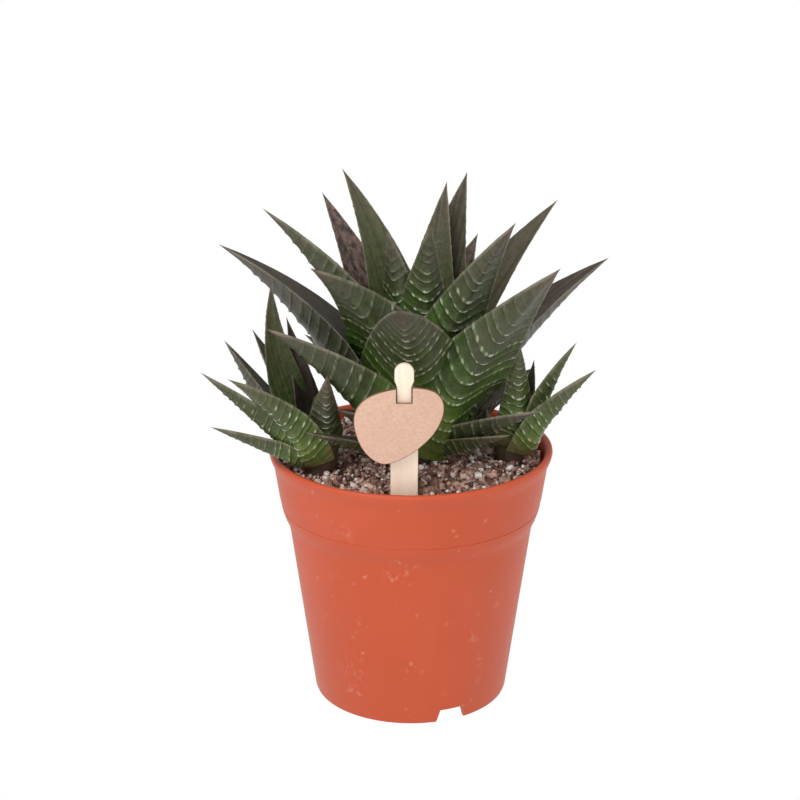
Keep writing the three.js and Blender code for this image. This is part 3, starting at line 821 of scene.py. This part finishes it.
def leaf_skin():
    material, tree, surface = start_material("leaf_skin", {"Specular IOR Level": 0.42})

    def carried(*names):
        return [painted(tree, name) for name in names]

    def joined(first, second, third):
        return add_node(tree, "ShaderNodeCombineXYZ", {0: first, 1: second, 2: third}).outputs[0]

    def product(first, *others):
        for other in others:
            first = sums(tree, "MULTIPLY", first, other)
        return first

    place = object_place(tree)
    along, span, inset, off_sag, phase = carried("along", "span", "inset", "off_sag", "phase")
    outer, seed, fresh, tinge, husk = carried("outer", "seed", "fresh", "purple", "husk")
    inner = sums(tree, "SUBTRACT", 1.0, outer)
    blotches = mottle(tree, place, 130, 4, 0.6)
    uneven = sums(tree, "MULTIPLY", sums(tree, "SUBTRACT", blotches, 0.5), 0.5)
    shifted = sums(tree, "ADD", along, uneven)

    def ramp(*stops):
        made = add_node(tree, "ShaderNodeValToRGB", {"Fac": shifted})
        elements = made.color_ramp.elements
        while len(elements) < len(stops):
            elements.new(0.5)
        for element, (position, color) in zip(elements, stops):
            element.position = position
            element.color = (*color, 1)
        return made.outputs["Color"]

    green = ramp(
        (0.0, (0.12, 0.18, 0.034)),
        (0.25, (0.058, 0.104, 0.017)),
        (0.45, (0.044, 0.062, 0.020)),
        (0.7, (0.066, 0.072, 0.036)),
        (0.88, (0.090, 0.082, 0.052)),
        (1.0, (0.10, 0.070, 0.050)),
    )
    young = ramp(
        (0.0, (0.20, 0.27, 0.045)),
        (0.28, (0.092, 0.195, 0.016)),
        (0.5, (0.052, 0.095, 0.016)),
        (0.72, (0.064, 0.080, 0.030)),
        (1.0, (0.11, 0.085, 0.060)),
    )
    wine = ramp(
        (0.0, (0.055, 0.040, 0.026)),
        (0.25, (0.034, 0.022, 0.017)),
        (0.6, (0.076, 0.050, 0.040)),
        (1.0, (0.085, 0.066, 0.048)),
    )
    olive = ramp(
        (0.0, (0.060, 0.055, 0.020)),
        (0.25, (0.046, 0.050, 0.018)),
        (0.5, (0.088, 0.094, 0.038)),
        (0.8, (0.125, 0.122, 0.062)),
        (1.0, (0.135, 0.112, 0.078)),
    )
    facing = blend(tree, product(fresh, 0.5), olive, young)
    skin = blend(tree, inner, blend(tree, fresh, green, young), facing)
    purple = sums(tree, "ADD", tinge, product(inner, between(tree, fresh, 0, 1, 0.4, -0.3)))
    purple = sums(tree, "ADD", purple, product(uneven, 1.4), clamp=True)
    skin = blend(tree, purple, skin, wine)
    pink = product(inner, between(tree, tinge, 0.8, 1.0), between(tree, along, 0.3, 0.6))
    threads = mottle(tree, stretched(tree, place, (1, 1, 0.5)), 520, 3, 0.6)
    web = between(tree, threads, 0.38, 0.58)
    skin = blend(tree, product(pink, web, 0.9), skin, (0.29, 0.185, 0.16))

    # a painted sheen, the grey reflection of the bright sky, lightens what faces up; small leaves
    # are brighter, and clouds darken all of it
    normal = add_node(tree, "ShaderNodeTexCoord").outputs["Normal"]
    facing_up = add_node(tree, "ShaderNodeSeparateXYZ", {0: normal}).outputs["Z"]
    upward = between(tree, facing_up, 0.15, 0.75)
    # painted reflection: outer faces that look upwards are painted grey, as if they mirrored the
    # sky
    painted_sky_sheen = product(upward, between(tree, shifted, 0.12, 0.4), outer)
    skin = blend(tree, product(painted_sky_sheen, 0.5), skin, (0.110, 0.108, 0.078))
    small = product(husk, outer, fresh)
    skin = blend(tree, product(small, 0.45), skin, (0.130, 0.150, 0.050))
    clouds = between(tree, mottle(tree, place, 420, 4, 0.65), 0.35, 0.65, 0.0, 0.5)
    skin = shade(tree, clouds, skin, (0.50, 0.50, 0.46))

    # dark lines run lengthwise, mostly on the inner face
    lanes = joined(product(span, 0.9), along, seed)
    stripes = between(tree, mottle(tree, lanes, 1.0, 3), 0.42, 0.6)
    striped = product(stripes, between(tree, outer, 0, 1, 0.7, 0.25))
    skin = shade(tree, striped, skin, (0.50, 0.46, 0.42))

    # thin pale lines on the ridges; where they sag across the keel they are pale marks with a
    # painted glint on top, which makes them brightest
    number = sums(tree, "FLOOR", phase)
    part = sums(tree, "ABSOLUTE", sums(tree, "SUBTRACT", sums(tree, "FRACT", phase), 0.5))
    row = joined(span, product(number, 5.3), seed)
    line = between(tree, part, 0.03, 0.1, 1.0, 0.0)
    dashed = between(tree, mottle(tree, row, 1.3, 3, 0.6), 0.4, 0.58, 0.12, 1.0)
    rise = between(tree, along, 0.05, 0.12)
    fall = between(tree, along, 0.25, 0.85, 1.0, 0.08, smooth=False)
    low = product(between(tree, along, 0.06, 0.14), between(tree, along, 0.5, 0.75, 1, 0), fresh)
    pale = product(line, dashed, rise, fall, outer)
    plain = between(tree, low, 0, 1, 0.85, 0.3)
    skin = blend(tree, product(pale, plain), skin, (0.27, 0.30, 0.17))
    ridge_foot = product(between(tree, part, 0.08, 0.3, 1.0, 0.0), rise, fall, outer)
    # the crests near the keel: pale marks of the leaf itself, brightened by a painted highlight
    crest = product(line, between(tree, off_sag, 0.5, 1.4, 1.0, 0.0), rise, outer)
    crest = product(crest, between(tree, along, 0.4, 0.9, 1.0, 0.0))
    skin = blend(tree, product(crest, 0.9), skin, (0.60, 0.62, 0.54))

    # rows of pale dots near a fresh foot
    column = sums(tree, "ADD", product(span, 0.52), product(number, 0.37))
    cell = joined(sums(tree, "FLOOR", column), number, seed)
    chance = add_node(tree, "ShaderNodeTexWhiteNoise", {"Vector": cell}).outputs["Value"]
    beside = sums(tree, "SUBTRACT", sums(tree, "FRACT", column), 0.5)
    off_dot = {0: joined(beside, product(part, 2.1), 0.0)}
    distance = add_node(tree, "ShaderNodeVectorMath", off_dot, operation="LENGTH").outputs["Value"]
    dot = between(tree, distance, 0.14, 0.3, 1.0, 0.0)
    dotted = product(dot, between(tree, chance, 0.25, 0.5), low, outer)
    skin = blend(tree, dotted, skin, (0.58, 0.62, 0.42))

    # a pale horny margin, a brown tip and the dry foot of a small leaf
    broken = between(tree, blotches, 0.4, 0.6, 0.2, 0.6)
    margin = product(between(tree, inset, 0.05, 0.4, 1.0, 0.0), broken)
    skin = blend(tree, margin, skin, (0.28, 0.24, 0.17))
    spine = between(tree, along, 0.955, 0.99)
    skin = blend(tree, product(spine, 0.7), skin, (0.12, 0.055, 0.04))
    dry = product(husk, between(tree, shifted, 0.0, 0.14, 1.0, 0.0))
    skin = blend(tree, product(dry, 0.75), skin, (0.13, 0.085, 0.042))
    tree.links.new(skin, surface.inputs["Base Color"])

    gloss = sums(tree, "ADD", between(tree, blotches, 0.3, 0.7, 0.36, 0.48), product(pale, 0.1))
    gloss = sums(tree, "ADD", gloss, product(inner, 0.2))
    tree.links.new(gloss, surface.inputs["Roughness"])
    cells = mottle(tree, place, 1600, 3, 0.6)
    relief = sums(tree, "ADD", product(cells, 0.5), sums(tree, "ADD", ridge_foot, dotted))
    relief = sums(tree, "ADD", relief, product(clouds, -1.0))
    raise_surface(tree, surface, relief, 0.5, 0.0004)
    return material


def stem_skin():
    material, tree, surface = start_material("stem_skin", {"Roughness": 0.7})
    place = object_place(tree)
    husk = between(tree, mottle(tree, stretched(tree, place, (1, 1, 0.3)), 320, 4), 0.35, 0.65)
    fleshy = blend(tree, husk, (0.075, 0.085, 0.028), (0.10, 0.055, 0.032))
    height = add_node(tree, "ShaderNodeSeparateXYZ", {0: place}).outputs["Z"]
    uneven = sums(tree, "ADD", height, sums(tree, "MULTIPLY", husk, 0.002))
    soiled = between(tree, uneven, 0.082, 0.086, 0.85, 0.0)
    skin = blend(tree, soiled, fleshy, (0.085, 0.046, 0.033))
    tree.links.new(skin, surface.inputs["Base Color"])
    raise_surface(tree, surface, husk, 0.6, 0.0006)
    return material


leaf_material, stem_material = leaf_skin(), stem_skin()
leaf_count = 0
for plant, rows, node, slot in [
    ("main", MAIN_LEAVES, "main_rosette", "main_leaf"),
    ("left", LEFT_LEAVES, "left_offset", "offset_leaf"),
    ("right", RIGHT_LEAVES, "right_offset", "offset_leaf"),
]:
    foot = STEMS[plant][:2]
    stalk = turn(f"{plant}_stem", STEM_OUTLINES[plant], STEM_SIDES)
    for vertex in stalk.data.vertices:
        vertex.co += Vector((*foot, 0)) * MM
    finish_shape(stalk, ALL_SMOOTH)
    set_piece(stalk, stem_material, slot, node)
    for number, row in enumerate(rows, 1):
        leaf_count += 1
        leaf = grow_leaf(f"{plant}_leaf_{number:02d}", foot, row, leaf_count)
        set_piece(leaf, leaf_material, slot, node)


# The label: a flat birch stick stands in the soil at the front, and a thin bare board in the shape
# of a pebble hangs on its narrow neck by an open notch. The board's cut edge is scorched.
STICK = {
    "lean": 4,
    "thickness": 1.4,
    "foot": 58,
    "taper": 5,
    "shoulder": 2.2,
    "blade_top": 106.5,
    "neck_top": 115.7,
    "top": 122.8,
    "blade_width": 8.2,
    "neck_width": 4.3,
    "head_width": 5.7,
}
PLATE = {
    "x": -3.8,
    "height": 103.7,
    "lean": -4,
    "thickness": 1.3,
    "width": 26.6,
    "depth": 23.3,
    "notch_depth": 4.8,
}
PEBBLE = [  # the board's corners, as shares of half its width and half its depth
    (-1, 0.1),
    (-0.84, 0.6),
    (-0.38, 0.89),
    (0.29, 1),
    (0.82, 0.87),
    (1, 0.44),
    (0.78, -0.2),
    (0.24, -0.76),
    (-0.35, -1),
    (-0.8, -0.62),
]
STEPS_BETWEEN = 10  # from one corner to the next
EDGE_ROUNDING = 0.2
FLAT_FACING = 0.97  # a face of the board that is turned further than this belongs to its edge


def cut_board(name, outline, thickness):
    """A flat board cut to an outline of points in millimetres, its middle layer in the XY plane."""
    curve = bpy.data.curves.new(name, "CURVE")
    curve.dimensions = "2D"
    curve.fill_mode = "BOTH"
    curve.extrude = (thickness / 2 - EDGE_ROUNDING) * MM
    curve.bevel_depth = EDGE_ROUNDING * MM
    curve.bevel_resolution = 2
    curve.offset = -EDGE_ROUNDING * MM
    spline = curve.splines.new("POLY")
    spline.points.add(len(outline) - 1)
    for point, (x, y) in zip(spline.points, outline):
        point.co = (x * MM, y * MM, 0, 1)
    spline.use_cyclic_u = True
    board = bpy.data.objects.new(name, curve)
    bpy.context.scene.collection.objects.link(board)
    bpy.ops.object.select_all(action="DESELECT")
    board.select_set(True)
    bpy.context.view_layer.objects.active = board
    bpy.ops.object.convert(target="MESH")
    bpy.ops.object.mode_set(mode="EDIT")
    bpy.ops.mesh.select_all(action="SELECT")
    bpy.ops.mesh.remove_doubles(threshold=0.001 * MM)
    bpy.ops.mesh.normals_make_consistent(inside=False)
    bpy.ops.object.mode_set(mode="OBJECT")
    return bpy.context.object


def stand_up(board, lean, y, height, forward):
    """Stands a flat board upright and leans it about a level line at y and height."""
    for step in (
        Matrix.Translation((0, 0, forward * MM)),
        Matrix.Rotation(math.pi / 2, 4, "X"),
        Matrix.Translation((0, 0, -height * MM)),
        Matrix.Rotation(math.radians(lean), 4, "X"),
        Matrix.Translation(millimetres(0, y, height)),
    ):
        board.data.transform(step)


def arc(x, y, radius, last, steps):
    """Points on an arc round (x, y), from straight to the right up to the angle last."""
    angles = [math.radians(last * step / steps) for step in range(steps + 1)]
    return [(x + radius * math.cos(angle), y + radius * math.sin(angle)) for angle in angles]


def stick_outline():
    """The stick seen from the front: blade, shoulders, neck and round head."""
    blade, neck, head = (STICK[part] / 2 for part in ("blade_width", "neck_width", "head_width"))
    shoulder, blade_top, neck_top = STICK["shoulder"], STICK["blade_top"], STICK["neck_top"]
    right_side = [
        (blade / 2, STICK["foot"]),
        (blade, STICK["foot"] + STICK["taper"]),
        (blade, blade_top - shoulder),
        *arc(blade - shoulder, blade_top - shoulder, shoulder, 80, 8),
        (neck, blade_top + 0.3),
        (neck, neck_top - 0.2),
        (neck + 0.25, neck_top + 0.5),
        (head, neck_top + 1.6),
        *arc(0, STICK["top"] - head, head, 90, 12),
    ]
    left_side = [(-x, y) for x, y in reversed(right_side[:-1])]
    return [(STICK_AT[0] + x, y) for x, y in right_side + left_side]


def plate_outline():
    """The board's corners, joined by a smooth closed curve that runs through all of them."""
    outline = []
    for i in range(len(PEBBLE)):
        corners = [Vector(PEBBLE[(i + step) % len(PEBBLE)]) for step in (-1, 0, 1, 2)]
        leave, arrive = (corners[2] - corners[0]) / 2, (corners[3] - corners[1]) / 2
        for step in range(STEPS_BETWEEN):
            t = step / STEPS_BETWEEN
            point = corners[1] * (1 - 3 * t**2 + 2 * t**3) + corners[2] * (3 * t**2 - 2 * t**3)
            point += leave * (t - 2 * t**2 + t**3) + arrive * (t**3 - t**2)
            across = PLATE["x"] + point.x * PLATE["width"] / 2
            outline.append((across, PLATE["height"] + point.y * PLATE["depth"] / 2))
    return outline


stick = cut_board("birch_stick", stick_outline(), STICK["thickness"])
stand_up(stick, STICK["lean"], STICK_AT[1], SOIL_EDGE_HEIGHT, 0)
finish_shape(stick)

plate = cut_board("label_board", plate_outline(), PLATE["thickness"])
plate_top = PLATE["height"] + PLATE["depth"] / 2
bpy.ops.mesh.primitive_cube_add(size=1)
notch = bpy.context.object
notch.scale = Vector((STICK["neck_width"] + 2 * GAP, 2 * PLATE["notch_depth"], 5)) * MM
notch.location = Vector((STICK_AT[0], plate_top, 0)) * MM
cut(plate, notch)
seat = plate_top - PLATE["notch_depth"]
leaning = (seat - SOIL_EDGE_HEIGHT) * math.tan(math.radians(STICK["lean"]))
stick_front = STICK_AT[1] - leaning - STICK["thickness"] / 2
stand_up(plate, PLATE["lean"], stick_front - GAP, seat, PLATE["thickness"] / 2)
finish_shape(plate)


def fibre_group():
    """Wood fibre: a value from a place, drawn out along the way that the fibre runs."""
    group = bpy.data.node_groups.new("wood_fibre", "ShaderNodeTree")
    group.interface.new_socket("Place", in_out="INPUT", socket_type="NodeSocketVector")
    group.interface.new_socket("Draw", in_out="INPUT", socket_type="NodeSocketVector")
    group.interface.new_socket("Fibre", in_out="OUTPUT", socket_type="NodeSocketFloat")
    start = group.nodes.new("NodeGroupInput")
    end = group.nodes.new("NodeGroupOutput")
    drawn = add_node(group, "ShaderNodeMapping", {"Vector": start.outputs["Place"]})
    group.links.new(start.outputs["Draw"], drawn.inputs["Scale"])
    fibre = between(group, mottle(group, drawn.outputs[0], 260, 6, 0.6), 0.3, 0.7)
    group.links.new(fibre, end.inputs["Fibre"])
    return group


wood_fibre = fibre_group()


def bare_wood(name, light, dark, draw):
    material, tree, surface = start_material(name, {"Roughness": 0.62})
    place = object_place(tree)
    fibre = add_node(tree, "ShaderNodeGroup", node_tree=wood_fibre)
    tree.links.new(place, fibre.inputs["Place"])
    fibre.inputs["Draw"].default_value = draw
    wood = blend(tree, fibre.outputs["Fibre"], light, dark)
    cloudy = between(tree, mottle(tree, place, 60, 2), 0.4, 0.7, 0.0, 0.25)
    wood = blend(tree, cloudy, wood, dark)
    tree.links.new(wood, surface.inputs["Base Color"])
    raise_surface(tree, surface, fibre.outputs["Fibre"], 0.25, 0.0001)
    return material


birch = bare_wood("birch", (0.98, 0.82, 0.66), (0.94, 0.75, 0.59), (4, 4, 0.12))
board = bare_wood("tan_board", (0.68, 0.435, 0.32), (0.585, 0.36, 0.26), (3.5, 4, 5))
scorched = bare_wood("scorched_edge", (0.30, 0.15, 0.08), (0.16, 0.075, 0.04), (1, 1, 1))
set_piece(stick, birch, "birch_stick", "label_stick")
set_piece(plate, board, "label_board", "label_plate")
plate.data.materials.append(scorched)
plate_front = Matrix.Rotation(math.radians(PLATE["lean"]), 3, "X") @ Vector((0, -1, 0))
for polygon in plate.data.polygons:
    if abs(polygon.normal.dot(plate_front)) < FLAT_FACING:
        polygon.material_index = 1
